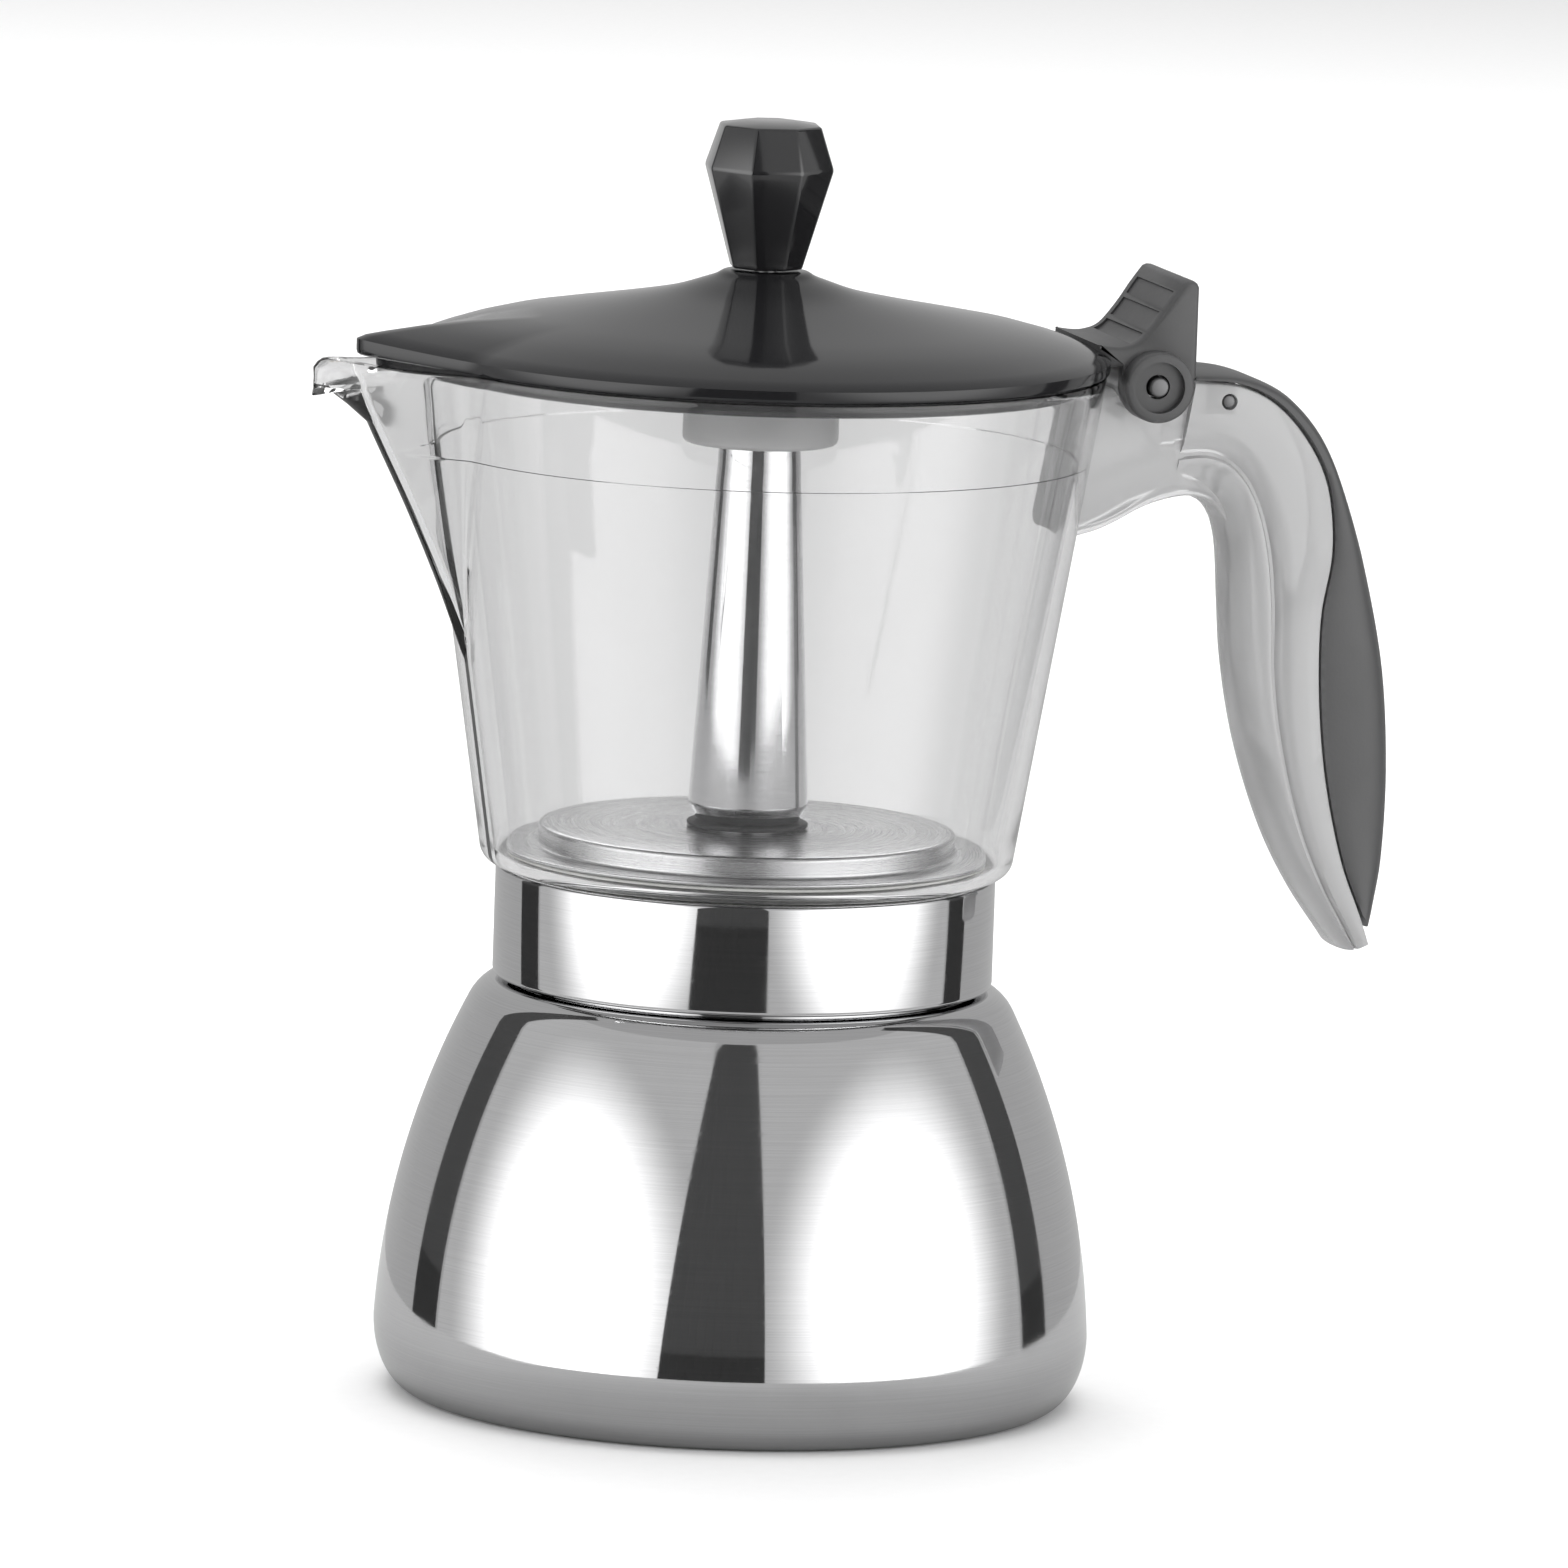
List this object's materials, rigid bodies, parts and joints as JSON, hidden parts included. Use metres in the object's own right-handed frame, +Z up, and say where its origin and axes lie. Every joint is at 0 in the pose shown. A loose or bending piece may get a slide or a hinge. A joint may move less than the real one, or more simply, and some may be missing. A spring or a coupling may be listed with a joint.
{
  "type": "moka pot",
  "caption": "Stove-top moka pot: waisted steel boiler, clear jug with a V spout, hinged black lid with a faceted knob, clear handle with a black insert.",
  "frame": {"origin": "centre of the boiler's flat underside", "axes": "+Z up, +X from the pot's axis to the handle, -X to the spout, +Y to the safety valve"},
  "size_m": [0.1634, 0.1117, 0.1863],
  "materials": {
    "polished_steel": "mirror polished stainless steel",
    "satin_steel": "satin stainless steel",
    "satin_aluminium": "satin aluminium",
    "brass": "machined brass",
    "seal_rubber": "black rubber",
    "seal_silicone": "white silicone",
    "clear_plastic": "clear moulded plastic",
    "frosted_silicone": "frosted translucent",
    "gloss_black": "glossy black plastic",
    "satin_black": "satin black plastic"
  },
  "bodies": {
    "boiler": {"boiler": "polished_steel", "valve_boss": "satin_steel", "valve_washer": "seal_rubber", "valve_body": "brass", "valve_retainer": "brass", "valve_spring": "satin_steel"},
    "plunger": {"valve_pin": "brass"},
    "funnel": {"funnel_basket": "satin_aluminium", "funnel_stem": "satin_aluminium", "funnel_plate": "satin_aluminium"},
    "filter": {"filter_plate": "satin_aluminium"},
    "seal": {"gasket": "seal_silicone"},
    "upper": {"collar": "polished_steel", "base_plate": "satin_steel", "jug_seal": "seal_silicone", "column_seal": "seal_rubber", "column": "polished_steel", "column_nut": "satin_steel", "jug": "clear_plastic", "handle": "clear_plastic", "grip_insert": "satin_black", "grip_pin": "satin_steel", "hinge_pin": "satin_steel"},
    "lid": {"lid": "gloss_black", "knob": "gloss_black", "knob_screw": "satin_steel", "splash_guard": "frosted_silicone"}
  },
  "joints": [
    {"name": "valve_open", "type": "slide", "parent": "boiler", "child": "plunger", "axis": [0, 1, 0], "range_m": [0, 0.0015], "stiffness_N_per_m": 200, "springref_m": -0.005, "deforming": ["valve_spring"]},
    {"name": "funnel_lift", "type": "slide", "parent": "boiler", "child": "funnel", "axis": [0, 0, 1], "range_m": [0, 0.07]},
    {"name": "upper_lift", "type": "slide", "parent": "funnel", "child": "filter", "axis": [0, 0, 1], "range_m": [0, 0.035]},
    {"name": "thread_rise", "type": "slide", "parent": "filter", "child": "seal", "axis": [0, 0, 1], "range_m": [0, 0.0046]},
    {"name": "upper_turn", "type": "hinge", "parent": "seal", "child": "upper", "pos_m": [0, 0, 0.077], "axis": [0, 0, 1], "range_deg": [0, 540]},
    {"name": "lid_hinge", "type": "hinge", "parent": "upper", "child": "lid", "pos_m": [0.0561, 0, 0.149], "axis": [0, 1, 0], "range_deg": [0, 56]}
  ],
  "couplings": [
    {"joint": "thread_rise", "follows": "upper_turn", "m_per_rad": 0.00047746}
  ]
}
